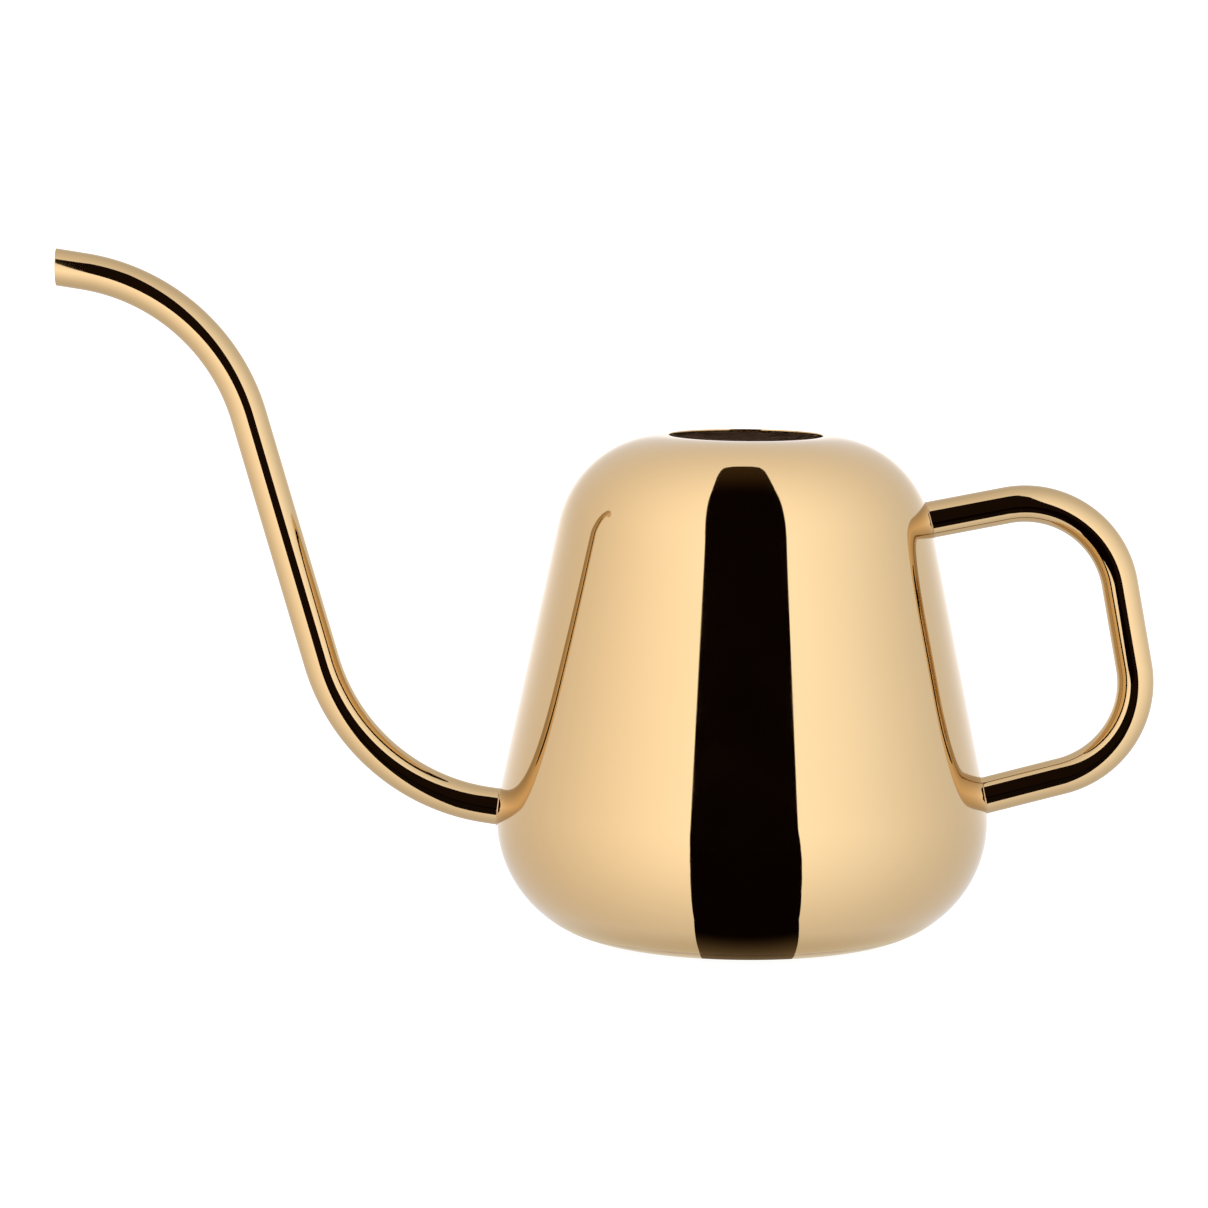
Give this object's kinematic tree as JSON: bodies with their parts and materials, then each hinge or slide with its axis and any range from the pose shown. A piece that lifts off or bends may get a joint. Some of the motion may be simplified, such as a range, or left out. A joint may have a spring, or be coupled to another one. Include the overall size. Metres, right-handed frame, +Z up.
{
  "type": "watering can",
  "caption": "Small indoor watering can: tapered round body with a soft shoulder, open round filling mouth, long S-bent spout tube and a bent-tube D handle, all in polished gold-coloured steel.",
  "frame": {"origin": "middle of the overall bounding box in X and Y, on the plane the foot stands on", "axes": "+Z up; -X towards the spout tip and +X towards the handle, in the plane of spout and handle; +Y across the body, which is round about a vertical line at x = +44.8 mm"},
  "size_m": [0.3568, 0.1598, 0.2232],
  "materials": {
    "polished_gold": "mirror-polished stainless steel with a gold-coloured coating",
    "dressed_weld": "fine weld bead, dressed and coated with the can"
  },
  "bodies": {
    "root": {"body_shell": "polished_gold", "base_pan": "polished_gold", "base_weld": "dressed_weld", "spout_tube": "polished_gold", "spout_weld": "dressed_weld", "handle_tube": "polished_gold", "handle_top_weld": "dressed_weld", "handle_bottom_weld": "dressed_weld"}
  },
  "joints": []
}
